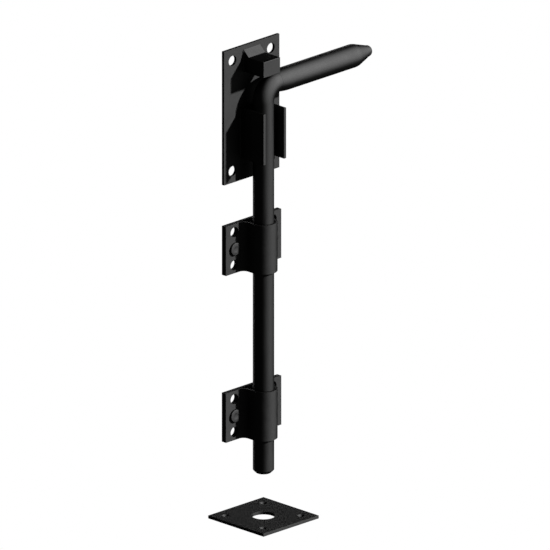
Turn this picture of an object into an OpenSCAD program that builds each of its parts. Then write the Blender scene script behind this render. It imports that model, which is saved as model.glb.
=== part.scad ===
// Drop bolt for a gate: a bent bar that slides in two guides and drops into a floor plate.
// The bar's axis is the Z axis, the ground is at z = 0 and the gate's face is at y = bar_offset.

/* [Bar] */
// Diameter of the bar
bar_d = 20; // [16:0.5:25]
// Gap between the bar and the back of the keeper
bar_gap = 2.4; // [0.5:0.1:8]
// Height of the bar's foot above the ground when it is raised
bar_lift = 45.8; // [20:0.1:80]
// Bevel round the bar's foot
bar_bevel = 3; // [1:0.1:5]
// Radius of the bar's bend, along its axis
bend_r = 16; // [14:0.5:30]

/* [Handle] */
// Reach of the handle from the bar's axis to its tip
handle_reach = 140.4; // [100:0.1:180]
// Wall of the sleeve on the handle
grip_wall = 1.15; // [0.5:0.05:3]
// Length of the sleeve's tapered nose
nose_l = 21.9; // [12:0.1:30]
// Diameter of the nose at its end
nose_d = 11; // [10:0.5:16]
// Radius of the nose's rounded edge
nose_round = 4.5; // [0.5:0.1:4.8]

/* [Wall plate] */
// Width of the wall plate, the guide plates and the straps
plate_w = 73; // [64:0.5:100]
// Height of the wall plate
wall_plate_h = 132; // [120:0.5:170]
// Thickness of the wall plate and the guide plates
plate_t = 3; // [2:0.5:5]
// Height of the wall plate's foot above the ground
wall_plate_z = 334; // [320:0.5:420]
// Diameter of the fixing holes in the plates on the gate
fixing_d = 10; // [6:0.5:11]
// Distance from a fixing hole's centre to the plates' left or right edge
fixing_side = 11.25; // [8:0.25:13]
// Distance from a fixing hole's centre to the wall plate's top or bottom edge
fixing_end = 11.5; // [8:0.25:14]

/* [Keeper] */
// Height of the keeper that the handle drops into
keeper_h = 50; // [40:0.5:60]
// Rise from the wall plate's foot to the keeper's foot
keeper_rise = 22; // [10:0.5:30]
// Thickness of the keeper's sheet
keeper_t = 3; // [2:0.5:5]
// Gap between the sleeve and each ear of the keeper
keeper_play = 0.85; // [0.5:0.05:3]
// Reach of the ears in front of the sleeve
keeper_lip = 3.95; // [1:0.05:10]
// Gap between the keeper's top and the raised handle
park_gap = 10.7; // [4:0.1:16]

/* [Stop block] */
// Width of the stop block
stop_w = 22; // [16:0.5:30]
// Height of the stop block's front
stop_h = 15.5; // [10:0.5:18]
// Gap between the raised handle and the stop block
stop_gap = 1.25; // [1:0.05:6]
// Reach of the stop block in front of the sleeve
stop_lip = 0.05; // [0:0.05:5]
// Height of the stop block's sloped shoulder
slope_h = 6.6; // [3:0.1:8]
// Depth of the stop block's sloped shoulder
slope_run = 7.15; // [3:0.05:10]

/* [Guides] */
// Height of each guide
guide_h = 48.5; // [42:0.5:60]
// Height of the upper guide's foot above the ground
upper_guide_z = 245.2; // [200:0.1:270]
// Height of the lower guide's foot above the ground
lower_guide_z = 80.4; // [70:0.1:150]
// Thickness of a guide's strap
strap_t = 2.5; // [1.5:0.1:4]
// Gap between the bar and a strap
guide_play = 0.7; // [0.3:0.1:2]
// Distance from a fixing hole's centre to a guide's top or bottom edge
guide_end = 8; // [7:0.25:10]
// Diameter of the rivet shanks
rivet_d = 6; // [4:0.5:8]
// Diameter of the rivet heads
rivet_head_d = 12.4; // [9:0.1:14]
// Height of the rivet heads
rivet_head_h = 2.3; // [1:0.1:4]
// Flat of a strap left between a rivet's head and the bend
rivet_margin = 0.05; // [0:0.05:1]

/* [Floor plate] */
// Side of the square floor plate
floor_w = 73; // [60:0.5:110]
// Thickness of the floor plate
floor_t = 3; // [2:0.5:6]
// Gap between the dropped bar and the floor plate
floor_play = 0.9; // [0.5:0.1:3]
// Diameter of the floor plate's screw holes
screw_d = 4.2; // [3:0.1:5]
// Diameter of the countersinks on the screw holes
sink_d = 7.4; // [6:0.1:11]
// Distance from a screw hole's centre to the floor plate's edges
screw_side = 11.65; // [7:0.05:14]

/* [Hidden] */
$fn = 64;

// Depths, from the gate's face forwards to the bar's axis
bar_offset = plate_t + keeper_t + bar_gap + bar_d / 2;
plate_front = bar_offset - plate_t;
strap_front = plate_front - strap_t;

// The bar and its handle
bar_r = bar_d / 2;
grip_r = bar_r + grip_wall;
handle_z = wall_plate_z + keeper_rise + keeper_h + park_gap + grip_r;
bend_z = handle_z - bend_r;
arm_l = handle_reach - nose_l - bend_r;

// The keeper and the stop block
keeper_z = wall_plate_z + keeper_rise;
keeper_inner = 2 * (grip_r + keeper_play);
keeper_front = -grip_r - keeper_lip;
stop_z = handle_z + grip_r + stop_gap;
stop_front = -grip_r - stop_lip;

// The guides
fixing_x = plate_w / 2 - fixing_side;
wall_fixing_rise = wall_plate_h / 2 - fixing_end;
guide_fixing_rise = guide_h / 2 - guide_end;
strap_inner_r = bar_r + guide_play;
strap_outer_r = strap_inner_r + strap_t;
bend_x = fixing_x - rivet_head_d / 2 - rivet_margin;
strap_bend = bend_x - strap_outer_r;
bend_outer = strap_bend + strap_t;
bend_y = strap_front - strap_bend;

cut = 1;

// Cylinders along Y at a rectangle of points around a centre height, through every plate on the gate
module fixing_holes(centre_z, rise) {
    for (side = [-1, 1])
        for (end = [-1, 1])
            translate([side * fixing_x, bar_offset + cut, centre_z + end * rise])
                rotate([90, 0, 0])
                    cylinder(d = fixing_d, h = bar_offset);
}

// A flat plate on the gate's face
module gate_plate(foot_z, height) {
    translate([-plate_w / 2, plate_front, foot_z])
        cube([plate_w, plate_t, height]);
}

module wall_plate() {
    color("#1b1b1c")
        difference() {
            gate_plate(wall_plate_z, wall_plate_h);
            fixing_holes(wall_plate_z + wall_plate_h / 2, wall_fixing_rise);
        }
}

// Solid stop above the raised handle, with its shoulder sloped down from the plate
module stop_block() {
    color("#1b1b1c")
        translate([-stop_w / 2, 0, stop_z])
            rotate([90, 0, 90])
                linear_extrude(stop_w)
                    polygon([
                        [stop_front, 0],
                        [plate_front, 0],
                        [plate_front, stop_h + slope_h],
                        [plate_front - slope_run, stop_h],
                        [stop_front, stop_h]
                    ]);
}

// Folded sheet with an ear on each side of the place that the handle drops into
module handle_keeper() {
    keeper_w = keeper_inner + 2 * keeper_t;
    color("#1b1b1c")
        difference() {
            translate([-keeper_w / 2, keeper_front, keeper_z])
                cube([keeper_w, plate_front - keeper_front, keeper_h]);
            translate([-keeper_inner / 2, keeper_front - cut, keeper_z - cut])
                cube([keeper_inner, plate_front - keeper_t - keeper_front + cut, keeper_h + 2 * cut]);
        }
}

module bolt_rod() {
    color("#1b1b1c")
        translate([0, 0, bar_lift])
            rotate_extrude()
                polygon([
                    [0, 0],
                    [bar_r - bar_bevel, 0],
                    [bar_r, bar_bevel],
                    [bar_r, bend_z - bar_lift],
                    [0, bend_z - bar_lift]
                ]);
}

// Quarter bend from the bar's axis towards +X, and the straight arm inside the sleeve
module handle_bar() {
    color("#1b1b1c")
        union() {
            translate([bend_r, 0, bend_z])
                rotate([90, 0, 0])
                    intersection() {
                        rotate_extrude()
                            translate([bend_r, 0])
                                circle(d = bar_d);
                        translate([-bend_r - bar_d, 0, -bar_d])
                            cube([bend_r + bar_d, bend_r + bar_d, 2 * bar_d]);
                    }
            translate([bend_r, 0, handle_z])
                rotate([0, 90, 0])
                    cylinder(d = bar_d, h = arm_l);
        }
}

// Sleeve on the arm, closed by a tapered nose
module handle_grip() {
    sleeve_l = handle_reach - bend_r;
    nose_r = nose_d / 2;
    round_x = nose_r - nose_round;
    color("#1f1f20")
        translate([bend_r, 0, handle_z])
            rotate([0, 90, 0])
                difference() {
                    union() {
                        cylinder(r = grip_r, h = arm_l);
                        translate([0, 0, arm_l])
                            cylinder(r1 = grip_r, r2 = nose_r, h = nose_l - nose_round);
                        translate([0, 0, sleeve_l - nose_round])
                            rotate_extrude()
                                intersection() {
                                    union() {
                                        square([round_x, nose_round]);
                                        translate([round_x, 0])
                                            circle(r = nose_round);
                                    }
                                    square([nose_r, nose_round]);
                                }
                    }
                    translate([0, 0, -cut])
                        cylinder(d = bar_d, h = arm_l + cut);
                }
}

module guide_plate(foot_z) {
    color("#1b1b1c")
        difference() {
            gate_plate(foot_z, guide_h);
            fixing_holes(foot_z + guide_h / 2, guide_fixing_rise);
            rivet_holes(foot_z);
        }
}

module rivet_holes(foot_z) {
    for (side = [-1, 1])
        translate([side * fixing_x, bar_offset + cut, foot_z + guide_h / 2])
            rotate([90, 0, 0])
                cylinder(d = rivet_d, h = bar_offset);
}

// One side of a strap's outline: its flange, the bend and the wall beside the bar
module strap_side() {
    translate([bend_x, strap_front])
        square([plate_w / 2 - bend_x, strap_t]);
    intersection() {
        translate([bend_x, bend_y])
            difference() {
                circle(r = bend_outer);
                circle(r = strap_bend);
            }
        translate([bend_x - bend_outer, bend_y])
            square([bend_outer, bend_outer]);
    }
    translate([strap_inner_r, 0])
        square([strap_t, bend_y]);
}

// Sheet bent round the front of the bar
module guide_strap(foot_z) {
    color("#1b1b1c")
        difference() {
            translate([0, 0, foot_z])
                linear_extrude(guide_h)
                    union() {
                        strap_side();
                        mirror([1, 0])
                            strap_side();
                        intersection() {
                            difference() {
                                circle(r = strap_outer_r);
                                circle(r = strap_inner_r);
                            }
                            translate([-strap_outer_r, -strap_outer_r])
                                square([2 * strap_outer_r, strap_outer_r]);
                        }
                    }
            fixing_holes(foot_z + guide_h / 2, guide_fixing_rise);
            rivet_holes(foot_z);
        }
}

// Rivet through a strap and its plate, with a flat head in front; side is -1 for left or 1 for right
module rivet(foot_z, side) {
    color("#232324")
        translate([side * fixing_x, bar_offset, foot_z + guide_h / 2])
            rotate([90, 0, 0])
                union() {
                    cylinder(d = rivet_d, h = plate_t + strap_t);
                    translate([0, 0, plate_t + strap_t])
                        cylinder(d = rivet_head_d, h = rivet_head_h);
                }
}

// Screw hole through the floor plate, with its countersink from above
module screw_hole() {
    sink_h = (sink_d - screw_d) / 2;
    translate([0, 0, -cut])
        cylinder(d = screw_d, h = floor_t + 2 * cut);
    translate([0, 0, floor_t - sink_h])
        cylinder(d1 = screw_d, d2 = sink_d, h = sink_h);
    translate([0, 0, floor_t])
        cylinder(d = sink_d, h = cut);
}

module floor_plate() {
    screw_x = floor_w / 2 - screw_side;
    color("#1b1b1c")
        difference() {
            translate([-floor_w / 2, -floor_w / 2, 0])
                cube([floor_w, floor_w, floor_t]);
            translate([0, 0, -cut])
                cylinder(r = bar_r + floor_play, h = floor_t + 2 * cut);
            for (x = [-1, 1])
                for (y = [-1, 1])
                    translate([x * screw_x, y * screw_x, 0])
                        screw_hole();
        }
}

wall_plate();
stop_block();
handle_keeper();
bolt_rod();
handle_bar();
handle_grip();
guide_plate(upper_guide_z);  // upper_guide_plate
guide_strap(upper_guide_z);  // upper_guide_strap
rivet(upper_guide_z, -1);  // upper_rivet_left
rivet(upper_guide_z, 1);  // upper_rivet_right
guide_plate(lower_guide_z);  // lower_guide_plate
guide_strap(lower_guide_z);  // lower_guide_strap
rivet(lower_guide_z, -1);  // lower_rivet_left
rivet(lower_guide_z, 1);  // lower_rivet_right
floor_plate();
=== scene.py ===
"""Looks of a gate drop bolt: coated plates, riveted guides, a bent bar and its sleeved handle."""

import logging
import math
from dataclasses import dataclass
from enum import Enum
from typing import Any, Sequence

import bmesh
import bpy
from mathutils import Matrix, Vector

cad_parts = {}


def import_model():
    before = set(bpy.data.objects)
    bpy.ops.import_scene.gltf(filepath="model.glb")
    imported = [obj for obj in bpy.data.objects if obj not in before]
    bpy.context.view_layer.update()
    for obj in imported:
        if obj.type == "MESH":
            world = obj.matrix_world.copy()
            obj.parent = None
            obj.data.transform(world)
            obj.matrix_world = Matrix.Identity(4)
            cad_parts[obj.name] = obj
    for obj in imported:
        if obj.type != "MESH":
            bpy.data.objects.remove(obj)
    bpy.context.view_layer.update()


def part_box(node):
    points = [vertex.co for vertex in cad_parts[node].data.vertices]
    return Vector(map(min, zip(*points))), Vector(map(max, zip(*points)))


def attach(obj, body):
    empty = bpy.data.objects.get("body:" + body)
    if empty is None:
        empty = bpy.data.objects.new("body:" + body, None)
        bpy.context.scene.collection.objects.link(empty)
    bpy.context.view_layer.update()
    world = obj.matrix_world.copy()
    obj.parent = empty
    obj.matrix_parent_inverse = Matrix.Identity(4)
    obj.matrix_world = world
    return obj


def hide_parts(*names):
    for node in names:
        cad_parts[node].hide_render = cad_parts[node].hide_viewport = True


LOG = logging.getLogger("drop_bolt")
MM = 0.001
MERGE = 0.001 * MM  # points closer than this are one point
FLAT_DEG = 0.4  # faces that meet at less than this are one flat face
EDGE_DEG = 40.0  # faces that meet at more than this get a rounded edge
CREASE_DEG = 30.0  # faces that meet at more than this are shaded apart
ROUNDING_STEPS = 5
NOISE_MIDDLE = 0.5
MIX_FIRST, MIX_SECOND, MIXED = 6, 7, 2  # a Mix node's sockets for colours: two to mix, and the result
WHITE = (1.0, 1.0, 1.0, 1.0)
GUIDES = ("upper", "lower")


class Body(Enum):
    """The rigid bodies of the bolt."""

    MOUNTING = "mounting"
    BOLT = "bolt"
    HANDLE = "handle"


class Slot(Enum):
    """The record's material slots."""

    COAT = "black_coat"
    SLEEVE = "black_sleeve"
    RIVET = "rivet_coat"


# ---------------------------------------------------------------- node graphs


class Wire:
    """A node socket that takes part in plain arithmetic."""

    def __init__(self, graph: "Graph", socket: bpy.types.NodeSocket | None) -> None:
        """Wrap a socket.

        Args:
            graph: The graph that the socket belongs to.
            socket: The output socket, or None for a node that has none.
        """
        self.graph = graph
        self.socket = socket

    def _math(self, operation: str, first: Any, second: Any) -> "Wire":
        """Add one Math node on two values or wires."""
        return self.graph.node("ShaderNodeMath", {"operation": operation}, {0: first, 1: second})

    def __add__(self, other: Any) -> "Wire":
        """Add a value or a wire."""
        return self._math("ADD", self, other)

    def __radd__(self, other: Any) -> "Wire":
        """Add this wire to a value."""
        return self._math("ADD", other, self)

    def __sub__(self, other: Any) -> "Wire":
        """Subtract a value or a wire."""
        return self._math("SUBTRACT", self, other)

    def __rsub__(self, other: Any) -> "Wire":
        """Subtract this wire from a value."""
        return self._math("SUBTRACT", other, self)

    def __mul__(self, other: Any) -> "Wire":
        """Multiply by a value or a wire."""
        return self._math("MULTIPLY", self, other)

    def __rmul__(self, other: Any) -> "Wire":
        """Multiply a value by this wire."""
        return self._math("MULTIPLY", other, self)

    def __truediv__(self, other: Any) -> "Wire":
        """Divide by a value or a wire."""
        return self._math("DIVIDE", self, other)

    def sine(self) -> "Wire":
        """Take the sine, in radians."""
        return self._math("SINE", self, 0.0)


class Graph:
    """A node tree that is filled through a single method."""

    def __init__(self, tree: bpy.types.NodeTree) -> None:
        """Wrap a tree and clear it.

        Args:
            tree: A material's or a modifier's node tree.
        """
        self.tree = tree
        tree.nodes.clear()

    def node(
        self,
        kind: str,
        settings: dict[str, Any] | None = None,
        inputs: dict[int | str, Any] | None = None,
        output: int | str = 0,
    ) -> Wire:
        """Add a node and give one of its outputs.

        Args:
            kind: The node's type.
            settings: The node's own settings, which are set first.
            inputs: Values or wires for its sockets, by index or name.
            output: The output to give, by index or name.

        Returns:
            The output as a wire, which is empty for a node without outputs.
        """
        made = self.tree.nodes.new(kind)
        for name, value in (settings or {}).items():
            setattr(made, name, value)
        for name, value in (inputs or {}).items():
            if isinstance(value, Wire):
                self.tree.links.new(value.socket, made.inputs[name])
            else:
                made.inputs[name].default_value = value
        return Wire(self, made.outputs[output] if len(made.outputs) else None)


# ---------------------------------------------------------------- finishes


@dataclass(frozen=True)
class Finish:
    """A near-black finish: a dark body under a thin film that gives the highlight.

    Attributes:
        name: The material's name.
        deep: The darker tint of the surface.
        pale: The lighter tint, which shows in soft clouds.
        rough: The middle roughness.
        rough_spread: How far the roughness wanders.
        grain: The size of the surface's fine bumps, in metres.
        grain_depth: The height of those bumps, in metres.
        grain_strength: How strongly the bumps show.
        shine: How much the outer film reflects.
        film: The share of the surface that the film's soft highlight covers.
        streak: How much longer the clouds are along Z than across it.
        cloud_size: The size of the large, soft clouds.
        mottle_size: The size of the smaller mottling.
        cloud_share: How much of the roughness's wander is due to the clouds.
        mottle_share: How much of it is due to the mottling.
        flow_ratio: How much wider the coat's slow waves are than its fine bumps.
        peel_share: The fine bumps' part of the surface's height.
        flow_share: The slow waves' part of it.
    """

    name: str
    deep: tuple[float, float, float]
    pale: tuple[float, float, float]
    rough: float
    rough_spread: float
    grain: float
    grain_depth: float
    grain_strength: float
    shine: float = 0.045
    film: float = 0.94
    streak: float = 1.0
    cloud_size: float = 14.0 * MM
    mottle_size: float = 2.6 * MM
    cloud_share: float = 1.2
    mottle_share: float = 0.8
    flow_ratio: float = 3.4
    peel_share: float = 0.6
    flow_share: float = 0.4

    def build(self) -> bpy.types.Material:
        """Make the material.

        Returns:
            The finished material.
        """
        material = bpy.data.materials.new(self.name)
        material.use_nodes = True
        graph = Graph(material.node_tree)
        where = graph.node("ShaderNodeTexCoord", output="Object")
        stretched = graph.node(
            "ShaderNodeMapping",
            {"vector_type": "POINT"},
            {"Vector": where, "Scale": (1.0, 1.0, 1.0 / self.streak)},
        )
        clouds = self._noise(graph, stretched, self.cloud_size, detail=3.0)
        mottle = self._noise(graph, stretched, self.mottle_size, detail=2.0)
        peel = self._noise(graph, where, self.grain, detail=2.0)
        flow = self._noise(graph, where, self.flow_ratio * self.grain, detail=1.0)
        tint = graph.node(
            "ShaderNodeMix",
            {"data_type": "RGBA"},
            {"Factor": clouds, MIX_FIRST: (*self.deep, 1.0), MIX_SECOND: (*self.pale, 1.0)},
            output=MIXED,
        )
        wander = (clouds - NOISE_MIDDLE) * self.cloud_share + (mottle - NOISE_MIDDLE) * self.mottle_share
        roughness = self.rough + wander * self.rough_spread
        height = peel * self.peel_share + flow * self.flow_share
        normal = graph.node(
            "ShaderNodeBump",
            None,
            {"Strength": self.grain_strength, "Distance": self.grain_depth, "Height": height},
        )
        body = graph.node(
            "ShaderNodeBsdfPrincipled",
            None,
            {"Base Color": tint, "Roughness": roughness, "Normal": normal, "IOR": 1.5},
        )
        # this kind of highlight ends sooner than the body's own, so the faces beside it stay dark
        film = graph.node(
            "ShaderNodeBsdfAnisotropic",
            {"distribution": "BECKMANN"},
            {"Color": (self.shine, self.shine, self.shine, 1.0), "Roughness": roughness, "Normal": normal},
        )
        surface = graph.node("ShaderNodeMixShader", None, {0: self.film, 1: body, 2: film})
        graph.node("ShaderNodeOutputMaterial", None, {"Surface": surface})
        return material

    @staticmethod
    def _noise(graph: Graph, where: Wire, size: float, detail: float) -> Wire:
        """Add a noise whose blobs are about one size across.

        Args:
            graph: The graph to add it to.
            where: The coordinates that it is laid on.
            size: The size of its blobs, in metres.
            detail: How much finer structure it has.

        Returns:
            Its value, which lies between 0 and 1.
        """
        return graph.node(
            "ShaderNodeTexNoise",
            {"noise_dimensions": "3D"},
            {"Vector": where, "Scale": 1.0 / size, "Detail": detail, "Roughness": 0.5},
        )


COAT = Finish(
    name="black_powder_coat",
    deep=(0.0022, 0.0022, 0.0024),
    pale=(0.0040, 0.0040, 0.0043),
    rough=0.70,
    rough_spread=0.07,
    grain=0.9 * MM,
    grain_depth=0.035 * MM,
    grain_strength=0.45,
)
BAR_COAT = Finish(
    name="black_coat_on_drawn_bar",
    deep=(0.0022, 0.0022, 0.0024),
    pale=(0.0038, 0.0038, 0.0041),
    rough=0.69,
    rough_spread=0.08,
    grain=0.9 * MM,
    grain_depth=0.03 * MM,
    grain_strength=0.4,
    streak=7.0,
)
RIVET_COAT = Finish(
    name="black_coat_on_pressed_rivet",
    deep=(0.0024, 0.0024, 0.0026),
    pale=(0.0044, 0.0044, 0.0047),
    rough=0.70,
    rough_spread=0.08,
    grain=0.7 * MM,
    grain_depth=0.03 * MM,
    grain_strength=0.45,
)
SLEEVE_VINYL = Finish(
    name="black_moulded_vinyl",
    deep=(0.0024, 0.0024, 0.0025),
    pale=(0.0036, 0.0036, 0.0037),
    rough=0.69,
    rough_spread=0.05,
    grain=0.45 * MM,
    grain_depth=0.018 * MM,
    grain_strength=0.4,
)


# ---------------------------------------------------------------- pieces


class Bench:
    """Where finished pieces get their material and body."""

    def __init__(self) -> None:
        """Start with no finish made."""
        self._made: dict[str, bpy.types.Material] = {}

    def finish(self, finish: Finish) -> bpy.types.Material:
        """Give a finish's material, which is made once.

        Args:
            finish: The finish.

        Returns:
            Its material.
        """
        if finish.name not in self._made:
            self._made[finish.name] = finish.build()
        return self._made[finish.name]

    def hand_over(
        self,
        piece: bpy.types.Object,
        body: Body,
        finish: Finish,
        stands_for: Sequence[str] = (),
    ) -> bpy.types.Object:
        """Dress a piece and set it on its body.

        Args:
            piece: The finished mesh object.
            body: The body that it moves with.
            finish: The finish to dress it in.
            stands_for: The CAD nodes that it is shown in place of.

        Returns:
            The same piece.
        """
        piece.data.materials.clear()
        piece.data.materials.append(self.finish(finish))
        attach(piece, body.value)
        if stands_for:
            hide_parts(*stands_for)
        LOG.info("%s rides on %s, %d faces", piece.name, body.value, len(piece.data.polygons))
        return piece


def new_object(name: str, mesh: bpy.types.Mesh) -> bpy.types.Object:
    """Link a mesh to the scene.

    Args:
        name: The object's name.
        mesh: Its mesh.

    Returns:
        The new object.
    """
    made = bpy.data.objects.new(name, mesh)
    bpy.context.scene.collection.objects.link(made)
    return made


def from_bmesh(name: str, bm: bmesh.types.BMesh) -> bpy.types.Object:
    """Turn a bmesh into a linked object and free it.

    Args:
        name: The object's name.
        bm: Its mesh while it is being worked on.

    Returns:
        The new object.
    """
    mesh = bpy.data.meshes.new(name)
    bm.to_mesh(mesh)
    bm.free()
    return new_object(name, mesh)


def settle(piece: bpy.types.Object) -> bpy.types.Object:
    """Apply a piece's modifiers to its mesh.

    Args:
        piece: The piece, whose modifiers are removed.

    Returns:
        The same piece.
    """
    graph = bpy.context.evaluated_depsgraph_get()
    applied = bpy.data.meshes.new_from_object(piece.evaluated_get(graph))
    piece.modifiers.clear()
    piece.data = applied
    applied.name = piece.name
    return piece


def shade(piece: bpy.types.Object) -> None:
    """Shade a piece smooth, with creases kept sharp."""
    piece.data.shade_smooth()
    piece.data.set_sharp_from_angle(angle=math.radians(CREASE_DEG))


def radius_of(node: str) -> float:
    """Give half the width of a CAD node across X."""
    low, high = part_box(node)
    return (high.x - low.x) / 2


def softened(name: str, node: str, radius: float, segments: int = 3) -> bpy.types.Object:
    """Copy a CAD node and take the sharpness off its edges.

    Args:
        name: The new piece's name.
        node: The CAD node.
        radius: The edge radius, in metres.
        segments: The number of faces across each rounded edge.

    Returns:
        The new piece, a closed mesh.
    """
    source = bpy.data.objects[node].data
    bm = bmesh.new()
    bm.from_mesh(source)
    bmesh.ops.remove_doubles(bm, verts=bm.verts, dist=MERGE)
    bmesh.ops.dissolve_limit(
        bm, angle_limit=math.radians(FLAT_DEG), verts=bm.verts, edges=bm.edges, delimit={"NORMAL"}
    )
    clean = bmesh.new()
    corners = [clean.verts.new(v.co) for v in bm.verts]
    for face in bm.faces:
        clean.faces.new([corners[v.index] for v in face.verts])
    bm.free()
    piece = from_bmesh(name, clean)
    shade(piece)
    bevel = piece.modifiers.new("edge_radius", "BEVEL")
    bevel.width = radius
    bevel.segments = segments
    bevel.limit_method = "ANGLE"
    bevel.angle_limit = math.radians(EDGE_DEG)
    bevel.use_clamp_overlap = True
    level = piece.modifiers.new("flat_faces", "WEIGHTED_NORMAL")
    level.mode = "FACE_AREA"
    level.weight = 100  # the largest face at a corner decides its shading alone
    level.keep_sharp = False
    return settle(piece)


def turned(
    name: str, outline: Sequence[tuple[float, float]], place: Matrix, sides: int
) -> bpy.types.Object:
    """Spin an outline round its axis into a closed solid.

    Args:
        name: The piece's name.
        outline: Points of (radius, distance along the axis), from one pole to the other.
        place: Takes the axis, which starts as +Z, to its place.
        sides: The number of faces round the axis.

    Returns:
        The new piece.
    """
    bm = bmesh.new()
    rings = []
    for radius, along in outline:
        if radius < MERGE:
            rings.append([bm.verts.new(place @ Vector((0.0, 0.0, along)))])
            continue
        ring = []
        for i in range(sides):
            turn = 2 * math.pi * i / sides
            point = Vector((radius * math.cos(turn), radius * math.sin(turn), along))
            ring.append(bm.verts.new(place @ point))
        rings.append(ring)
    for low, high in zip(rings, rings[1:]):
        for i in range(sides):
            j = (i + 1) % sides
            loop = [low[i % len(low)], low[j % len(low)], high[j % len(high)], high[i % len(high)]]
            unique = list(dict.fromkeys(loop))
            if len(unique) > 2:
                bm.faces.new(unique)
    bmesh.ops.recalc_face_normals(bm, faces=bm.faces)
    piece = from_bmesh(name, bm)
    shade(piece)
    return piece


def rounded(
    corner: tuple[float, float], before: tuple[float, float], after: tuple[float, float], radius: float
) -> list[tuple[float, float]]:
    """Round a corner of an outline with a short curve.

    Args:
        corner: The sharp corner.
        before: The outline's point before it.
        after: The outline's point after it.
        radius: How far the rounding reaches along each side.

    Returns:
        The points that take the corner's place.
    """
    c, b, a = Vector(corner), Vector(before), Vector(after)
    start = c + (b - c).normalized() * radius
    end = c + (a - c).normalized() * radius
    points = []
    for i in range(ROUNDING_STEPS + 1):
        t = i / ROUNDING_STEPS
        p = start * (1 - t) ** 2 + c * 2 * t * (1 - t) + end * t * t
        points.append((p.x, p.y))
    return points


class Recipe:
    """A Geometry Nodes tree with named inputs."""

    def __init__(self, name: str, sizes: dict[str, float]) -> None:
        """Make the tree and its inputs.

        Args:
            name: The tree's name.
            sizes: The named sizes and their values.
        """
        self.tree = bpy.data.node_groups.new(name, "GeometryNodeTree")
        self.sizes = sizes
        self.tree.interface.new_socket("Geometry", in_out="INPUT", socket_type="NodeSocketGeometry")
        self.keys: dict[str, str] = {}
        for label in sizes:
            socket = self.tree.interface.new_socket(label, in_out="INPUT", socket_type="NodeSocketFloat")
            self.keys[label] = socket.identifier
        self.tree.interface.new_socket("Geometry", in_out="OUTPUT", socket_type="NodeSocketGeometry")
        self.graph = Graph(self.tree)
        entry = self.tree.nodes.new("NodeGroupInput")
        self.inputs = {s.name: Wire(self.graph, s) for s in entry.outputs if s.name}

    def sweep(self, line: Wire, radius: Wire, sides: int, swell: Wire | float = 1.0) -> Wire:
        """Sweep a round section along a line, with closed ends.

        Args:
            line: The curve to follow.
            radius: The section's radius.
            sides: The number of faces round the section.
            swell: What the radius is multiplied by along the line.

        Returns:
            The swept shape, shaded smooth.
        """
        section = self.graph.node(
            "GeometryNodeCurvePrimitiveCircle",
            {"mode": "RADIUS"},
            {"Resolution": sides, "Radius": radius},
        )
        swept = self.graph.node(
            "GeometryNodeCurveToMesh",
            None,
            {"Curve": line, "Profile Curve": section, "Scale": swell, "Fill Caps": True},
        )
        return self.graph.node("GeometryNodeSetShadeSmooth", None, {0: swept})

    def close(self, shape: Wire, material: bpy.types.Material) -> None:
        """End the tree in Realize Instances and Set Material.

        Args:
            shape: The finished shape.
            material: What to dress it in.
        """
        real = self.graph.node("GeometryNodeRealizeInstances", None, {0: shape})
        dressed = self.graph.node(
            "GeometryNodeSetMaterial", None, {"Geometry": real, "Material": material}
        )
        self.graph.node("NodeGroupOutput", None, {0: dressed})

    def cook(self, name: str, path: bpy.types.Mesh) -> bpy.types.Object:
        """Run the tree on a mesh and keep the result as a plain mesh.

        Args:
            name: The piece's name.
            path: The mesh that the tree starts from.

        Returns:
            The finished piece.
        """
        piece = new_object(name, path)
        modifier = piece.modifiers.new("recipe", "NODES")
        modifier.node_group = self.tree
        for label, value in self.sizes.items():
            modifier[self.keys[label]] = value
        return settle(piece)


def path_mesh(name: str, runs: Sequence[Sequence[Vector]]) -> bpy.types.Mesh:
    """Make a mesh of edges that joins the points of each run.

    Args:
        name: The mesh's name.
        runs: The points of each separate path, in order.

    Returns:
        The mesh, which has no faces.
    """
    points = [p for run in runs for p in run]
    edges = []
    start = 0
    for run in runs:
        edges += [(start + i, start + i + 1) for i in range(len(run) - 1)]
        start += len(run)
    mesh = bpy.data.meshes.new(name)
    mesh.from_pydata(points, edges, [])
    return mesh


# ---------------------------------------------------------------- sub-assemblies


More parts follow.
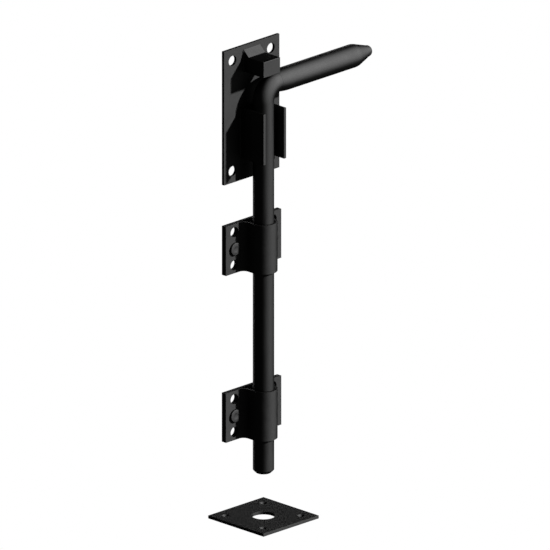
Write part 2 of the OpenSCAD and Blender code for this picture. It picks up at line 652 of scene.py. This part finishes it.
@dataclass
class WallPlate:
    """The wall plate with its welded stop block and keeper.

    Attributes:
        edge: The radius on the plate's sheared edges.
        block_edge: The radius on the stop block's edges.
        bead: The radius of the weld beads.
        ripple: The pitch of the ripples along a bead.
        ripple_swell: How much a ripple widens the bead, as a share of its radius.
        ripple_drift: How far the ripples drift from an even pitch, in radians.
        wander: How much the bead's width wanders along it, as a share of its radius.
        wander_length: The distance over which the pitch and the width wander.
        lean: The bead's usual width, as a share of its radius.
        end_inset: How far a bead stops short of the ends of what it holds.
        bands: The number of bands of faces along each ripple.
        sides: The number of faces round a bead.
    """

    edge: float = 0.35 * MM
    block_edge: float = 0.45 * MM
    bead: float = 1.5 * MM
    ripple: float = 1.5 * MM
    ripple_swell: float = 0.022
    ripple_drift: float = 14.0
    wander: float = 0.35
    wander_length: float = 9.0 * MM
    lean: float = 0.86
    end_inset: float = 1.5 * MM
    bands: int = 6
    sides: int = 14

    def build(self, bench: Bench) -> None:
        """Make the plate, the block, the keeper and their welds.

        Args:
            bench: Where the pieces are dressed.
        """
        for node, radius in (
            ("wall_plate", self.edge),
            ("stop_block", self.block_edge),
            ("handle_keeper", self.edge),
        ):
            piece = softened("coated_" + node, node, radius)
            bench.hand_over(piece, Body.MOUNTING, COAT, [node])
        self.weld(bench)

    def weld(self, bench: Bench) -> None:
        """Run weld beads down both sides of the block and of the keeper.

        Args:
            bench: Where the beads are dressed.
        """
        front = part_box("wall_plate")[0].y
        runs = []
        for low, high in (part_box("stop_block"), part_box("handle_keeper")):
            bottom, top = low.z + self.end_inset, high.z - self.end_inset
            for x in (low.x, high.x):
                runs.append([Vector((x, front, bottom)), Vector((x, front, top))])
        recipe = self._bead_recipe(bench.finish(COAT))
        piece = recipe.cook("weld_beads", path_mesh("weld_paths", runs))
        bench.hand_over(piece, Body.MOUNTING, COAT)

    def _bead_recipe(self, material: bpy.types.Material) -> Recipe:
        """Make the tree that sweeps a rippled bead along each path.

        Args:
            material: What to dress the bead in.

        Returns:
            The finished tree.
        """
        recipe = Recipe("weld_bead", {"Bead radius": self.bead, "Ripple pitch": self.ripple})
        graph, size = recipe.graph, recipe.inputs
        line = graph.node("GeometryNodeMeshToCurve", None, {"Mesh": size["Geometry"]})
        step = size["Ripple pitch"] / float(self.bands)
        fine = graph.node(
            "GeometryNodeResampleCurve", {"mode": "LENGTH"}, {"Curve": line, "Length": step}
        )
        along = graph.node("GeometryNodeSplineParameter", output="Length")
        wobble = graph.node(
            "ShaderNodeTexNoise",
            {"noise_dimensions": "1D"},
            {"W": along / self.wander_length, "Scale": 1.0, "Detail": 2.0},
        )
        phase = along * (2 * math.pi) / size["Ripple pitch"] + wobble * self.ripple_drift
        swell = self.lean + phase.sine() * self.ripple_swell + (wobble - NOISE_MIDDLE) * self.wander
        recipe.close(recipe.sweep(fine, size["Bead radius"], self.sides, swell), material)
        return recipe


@dataclass
class Guides:
    """The two guides: a back plate, a strap bent round the bar and two rivets each.

    Attributes:
        edge: The radius on the sheet's edges.
        rim: The rounding of a rivet head's rim.
        crown: How much a rivet head's top stands above its rim.
        press_mark: The outline of the shallow mark in a rivet head, from its lip to its middle,
            as points of (radius, depth below the head's top).
        strap_sheet: The thickness of a strap's sheet.
        shank: The radius of a rivet's shank.
        tail_edge: The bevel round a rivet's tail.
        turn_deg: How far each rivet is turned from the one before it.
        sides: The number of faces round a rivet.
    """

    edge: float = 0.35 * MM
    rim: float = 0.7 * MM
    crown: float = 0.12 * MM
    press_mark: tuple[tuple[float, float], ...] = (
        (3.8 * MM, 0.02 * MM),
        (3.0 * MM, 0.0),
        (2.5 * MM, 0.1 * MM),
        (1.5 * MM, 0.2 * MM),
        (0.0, 0.22 * MM),
    )
    strap_sheet: float = 2.5 * MM
    shank: float = 3.0 * MM
    tail_edge: float = 0.2 * MM
    turn_deg: float = 17.0
    sides: int = 40

    def build(self, bench: Bench) -> None:
        """Make the sheet pieces and the rivets of both guides.

        Args:
            bench: Where the pieces are dressed.
        """
        for place in GUIDES:
            for node in (f"{place}_guide_plate", f"{place}_guide_strap"):
                piece = softened("coated_" + node, node, self.edge)
                bench.hand_over(piece, Body.MOUNTING, COAT, [node])
        self.rivets(bench)

    def rivets(self, bench: Bench) -> None:
        """Set one rivet on each rivet centre of both guides.

        Args:
            bench: Where the rivets are dressed.
        """
        nodes = [f"{place}_rivet_{side}" for place in GUIDES for side in ("left", "right")]
        boxes = [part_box(node) for node in nodes]
        centres = [(low + high) / 2 for low, high in boxes]
        low, high = boxes[0]
        pattern = self._rivet(radius_of(nodes[0]), high.y - low.y)
        spots = bpy.data.meshes.new("rivet_centres")
        spots.from_pydata([Vector((c.x, high.y, c.z)) for c in centres], [], [])
        recipe = Recipe("rivets", {"Turn": math.radians(self.turn_deg)})
        graph, size = recipe.graph, recipe.inputs
        shape = graph.node(
            "GeometryNodeObjectInfo",
            {"transform_space": "ORIGINAL"},
            {"Object": pattern},
            output="Geometry",
        )
        index = graph.node("GeometryNodeInputIndex")
        turn = graph.node("ShaderNodeCombineXYZ", None, {"Y": size["Turn"] * index})
        set_out = graph.node(
            "GeometryNodeInstanceOnPoints",
            None,
            {"Points": size["Geometry"], "Instance": shape, "Rotation": turn},
        )
        recipe.close(set_out, bench.finish(RIVET_COAT))
        piece = recipe.cook("pressed_rivets", spots)
        bpy.data.objects.remove(pattern)
        bench.hand_over(piece, Body.MOUNTING, RIVET_COAT, nodes)

    def _rivet(self, head_r: float, length: float) -> bpy.types.Object:
        """Turn one rivet, its tail at the origin and its head towards -Y.

        Args:
            head_r: The head's radius.
            length: The rivet's whole length.

        Returns:
            The rivet, which the others are copied from.
        """
        low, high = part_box("upper_guide_plate")
        sheets = high.y - low.y + self.strap_sheet
        top = length - self.crown
        outline = [
            (0.0, 0.0),
            (self.shank - self.tail_edge, 0.0),
            (self.shank, self.tail_edge),
            (self.shank, sheets),
            (head_r, sheets),
            *rounded((head_r, top), (head_r, sheets), (0.0, top), self.rim),
            *((radius, length - depth) for radius, depth in self.press_mark),
        ]
        return turned("rivet_pattern", outline, Matrix.Rotation(math.pi / 2, 4, "X"), self.sides)


@dataclass
class Bar:
    """The bent bar: the rod, the bend with its arm, and the sleeve on the arm.

    Attributes:
        foot_bevel: The bevel round the foot.
        foot_edge: The rounding on that bevel.
        mouth_wall: The sleeve's wall at its open end, where it is thinned onto the arm.
        mouth_taper: The length over which the sleeve thickens behind its mouth.
        nose_r: The radius of the nose where its taper ends.
        nose_round: The radius of the nose's domed end.
        shoulder_round: The rounding where the nose's taper starts.
        dome_steps: The number of bands on the nose's domed end.
        bend_steps: The number of points round the bend.
        bend_fit: The share of the bend's radius that is used, so that it stays within the short leg.
        sides: The number of faces round the bar.
    """

    foot_bevel: float = 3.0 * MM
    foot_edge: float = 0.5 * MM
    mouth_wall: float = 0.12 * MM
    mouth_taper: float = 9.0 * MM
    nose_r: float = 5.5 * MM
    nose_round: float = 4.5 * MM
    shoulder_round: float = 2.5 * MM
    dome_steps: int = 12
    bend_steps: int = 40
    bend_fit: float = 0.9999
    sides: int = 96

    def build(self, bench: Bench) -> None:
        """Make the rod, the bend and the sleeve.

        Args:
            bench: Where the pieces are dressed.
        """
        self.rod(bench)
        self.bend(bench)
        self.sleeve(bench)

    def rod(self, bench: Bench) -> None:
        """Turn the straight rod with its bevelled foot.

        Args:
            bench: Where the rod is dressed.
        """
        low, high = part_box("bolt_rod")
        radius = radius_of("bolt_rod")
        foot = (radius - self.foot_bevel, low.z)
        shoulder = (radius, low.z + self.foot_bevel)
        outline = [
            (0.0, low.z),
            *rounded(foot, (0.0, low.z), shoulder, self.foot_edge),
            *rounded(shoulder, foot, (radius, high.z), self.foot_edge),
            (radius, high.z),
            (0.0, high.z),
        ]
        piece = turned("straight_rod", outline, Matrix.Identity(4), self.sides)
        bench.hand_over(piece, Body.BOLT, BAR_COAT, ["bolt_rod"])

    def bend(self, bench: Bench) -> None:
        """Sweep the bar round its bend and into the sleeve.

        Args:
            bench: Where the bar is dressed.
        """
        start = Vector((0.0, 0.0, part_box("bolt_rod")[1].z))
        arm_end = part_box("handle_bar")[1]
        radius = radius_of("bolt_rod")
        bend_r = arm_end.z - radius - start.z
        corner = start + Vector((0.0, 0.0, bend_r))
        path = path_mesh("bar_path", [[start, corner, corner + Vector((arm_end.x, 0.0, 0.0))]])
        recipe = Recipe("bent_bar", {"Bar radius": radius, "Bend radius": bend_r})
        graph, size = recipe.graph, recipe.inputs
        line = graph.node("GeometryNodeMeshToCurve", None, {"Mesh": size["Geometry"]})
        bent = graph.node(
            "GeometryNodeFilletCurve",
            {"mode": "POLY"},
            {
                "Curve": line,
                "Count": self.bend_steps,
                "Radius": size["Bend radius"] * self.bend_fit,
                "Limit Radius": True,
            },
        )
        recipe.close(recipe.sweep(bent, size["Bar radius"], self.sides), bench.finish(BAR_COAT))
        piece = recipe.cook("bent_arm", path)
        shade(piece)
        bench.hand_over(piece, Body.HANDLE, BAR_COAT, ["handle_bar"])

    def sleeve(self, bench: Bench) -> None:
        """Turn the sleeve with its thinned mouth and its tapered nose.

        Args:
            bench: Where the sleeve is dressed.
        """
        low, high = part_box("handle_grip")
        inner = radius_of("bolt_rod")
        outer = (high.z - low.z) / 2
        arm_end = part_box("handle_bar")[1].x - low.x
        length = high.x - low.x
        lip = (inner + self.mouth_wall, 0.0)
        full = (outer, self.mouth_taper)
        shoulder = (outer, arm_end)
        nose = (self.nose_r, length - self.nose_round)
        dome = [
            (nose[0] - self.nose_round * (1 - math.cos(a)), nose[1] + self.nose_round * math.sin(a))
            for a in (math.pi / 2 * step / self.dome_steps for step in range(self.dome_steps + 1))
        ]
        outline = [
            (0.0, arm_end),
            (inner, arm_end),
            (inner, 0.0),
            lip,
            *rounded(full, lip, shoulder, self.mouth_taper / 2),
            *rounded(shoulder, full, nose, self.shoulder_round),
            *dome,
            (0.0, length),
        ]
        middle = Vector((low.x, (low.y + high.y) / 2, (low.z + high.z) / 2))
        place = Matrix.Translation(middle) @ Matrix.Rotation(math.pi / 2, 4, "Y")
        piece = turned("handle_sleeve", outline, place, self.sides)
        bench.hand_over(piece, Body.HANDLE, SLEEVE_VINYL, ["handle_grip"])


@dataclass
class FloorPlate:
    """The square plate in the ground with the bar's socket hole.

    Attributes:
        edge: The radius on the plate's edges and the holes' rims.
    """

    edge: float = 0.35 * MM

    def build(self, bench: Bench) -> None:
        """Make the plate."""
        piece = softened("coated_floor_plate", "floor_plate", self.edge)
        bench.hand_over(piece, Body.MOUNTING, COAT, ["floor_plate"])


# ---------------------------------------------------------------- studio


@dataclass(frozen=True)
class Studio:
    """A plain pale floor, soft lights and the camera.

    Attributes:
        aim: The point that the camera looks at.
        turn_deg: The camera's turn round the bolt, to the left of its front.
        rise_deg: The camera's height above the horizon.
        width: The width of the view, in metres.
        key_light: The direction towards the key light.
        key_power: The key light's strength.
        key_spread_deg: The key light's angular size.
        back_light: The direction towards the light behind the bolt, which shows its back alone.
        back_power: The back light's strength.
        back_spread_deg: The back light's angular size, wide enough to blur what falls through the holes.
        soft_light: The direction towards the middle of the wide soft light.
        soft_inner_deg: How far from its middle the soft light is at full strength.
        soft_outer_deg: How far from its middle the soft light ends.
        soft_glow: The soft light's brightness.
        room_glow: The brightness of the rest of the room.
        camera_distance: How far the camera stands from its aim.
        camera_reach: How far the camera sees.
        floor_radius: The radius of the floor.
        floor_drop: How far the floor lies below the bolt's ground, so that the two don't coincide.
        floor_sides: The number of edges round the floor.
    """

    aim: tuple[float, float, float] = (0.0152, 0.0, 0.2367)
    turn_deg: float = -45.0
    rise_deg: float = 19.47
    width: float = 0.5123
    key_light: tuple[float, float, float] = (0.64, -1.0, 0.69)
    key_power: float = 7.2
    key_spread_deg: float = 3.0
    back_light: tuple[float, float, float] = (0.445, 0.889, -0.111)
    back_power: float = 4.0
    back_spread_deg: float = 50.0
    soft_light: tuple[float, float, float] = (0.60, -0.78, -0.15)
    soft_inner_deg: float = 20.0
    soft_outer_deg: float = 50.0
    soft_glow: float = 0.2
    room_glow: float = 0.03
    camera_distance: float = 3.0
    camera_reach: float = 20.0
    floor_radius: float = 6.0
    floor_drop: float = 0.3 * MM
    floor_sides: int = 64

    def camera(self) -> None:
        """Set up the parallel camera."""
        lens = bpy.data.cameras.new("camera")
        lens.type = "ORTHO"
        lens.ortho_scale = self.width
        lens.clip_end = self.camera_reach
        camera = bpy.data.objects.new("camera", lens)
        turn = math.radians(self.turn_deg)
        rise = math.radians(self.rise_deg)
        back = Vector((math.sin(turn) * math.cos(rise), -math.cos(turn) * math.cos(rise), math.sin(rise)))
        camera.location = Vector(self.aim) + back * self.camera_distance
        camera.rotation_euler = (math.pi / 2 - rise, 0.0, turn)
        bpy.context.scene.collection.objects.link(camera)
        bpy.context.scene.camera = camera

    def floor(self) -> None:
        """Lay the pale floor, which shows to the camera alone and so adds no bounce of its own."""
        bm = bmesh.new()
        bmesh.ops.create_circle(bm, cap_ends=True, segments=self.floor_sides, radius=self.floor_radius)
        floor = from_bmesh("pale_floor", bm)
        floor.location.z = -self.floor_drop
        material = bpy.data.materials.new("pale_floor")
        material.use_nodes = True
        graph = Graph(material.node_tree)
        glow = graph.node("ShaderNodeEmission", None, {"Color": WHITE, "Strength": 1.0})
        graph.node("ShaderNodeOutputMaterial", None, {"Surface": glow})
        floor.data.materials.append(material)
        floor.visible_glossy = False
        floor.visible_diffuse = False
        floor.visible_shadow = False

    def world(self) -> None:
        """Surround the bolt with a dim room and one wide soft light to its right and front."""
        world = bpy.data.worlds.new("surround")
        world.use_nodes = True
        graph = Graph(world.node_tree)
        seen = graph.node("ShaderNodeLightPath", output="Is Camera Ray")
        where = graph.node("ShaderNodeTexCoord", output="Generated")
        facing = graph.node(
            "ShaderNodeVectorMath",
            {"operation": "DOT_PRODUCT"},
            {0: where, 1: Vector(self.soft_light).normalized()},
            output="Value",
        )
        inside = math.cos(math.radians(self.soft_inner_deg))
        outside = math.cos(math.radians(self.soft_outer_deg))
        cap = graph.node(
            "ShaderNodeMapRange",
            {"interpolation_type": "SMOOTHSTEP"},
            {"Value": facing, "From Min": outside, "From Max": inside, "To Min": 0.0, "To Max": 1.0},
        )
        glow = self.room_glow + cap * self.soft_glow
        lit = graph.node("ShaderNodeBackground", None, {"Color": WHITE, "Strength": glow})
        white = graph.node("ShaderNodeBackground", None, {"Color": WHITE, "Strength": 1.0})
        mixed = graph.node("ShaderNodeMixShader", None, {0: seen, 1: lit, 2: white})
        graph.node("ShaderNodeOutputWorld", None, {"Surface": mixed})
        bpy.context.scene.world = world

    def sun(self, name: str, towards: tuple[float, float, float], power: float, spread_deg: float) -> None:
        """Hang one parallel light.

        Args:
            name: The light's name.
            towards: The direction towards it.
            power: Its strength.
            spread_deg: Its angular size.
        """
        light = bpy.data.lights.new(name, "SUN")
        light.energy = power
        light.angle = math.radians(spread_deg)
        lamp = bpy.data.objects.new(name, light)
        direction = Vector(towards)
        lamp.location = Vector(self.aim) + direction.normalized()
        lamp.rotation_mode = "QUATERNION"
        lamp.rotation_quaternion = (-direction).to_track_quat("-Z", "Y")
        bpy.context.scene.collection.objects.link(lamp)

    def build(self) -> None:
        """Set up the whole studio."""
        self.camera()
        self.floor()
        self.world()
        self.sun("key", self.key_light, self.key_power, self.key_spread_deg)
        self.sun("back", self.back_light, self.back_power, self.back_spread_deg)
        bpy.context.scene.view_settings.view_transform = "Standard"


def main() -> None:
    """Build the bolt's looks around its frame."""
    logging.basicConfig(level=logging.INFO, format="%(message)s")
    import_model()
    Studio().build()
    bench = Bench()
    for assembly in (WallPlate(), Guides(), Bar(), FloorPlate()):
        assembly.build(bench)


if __name__ == "__main__":
    main()
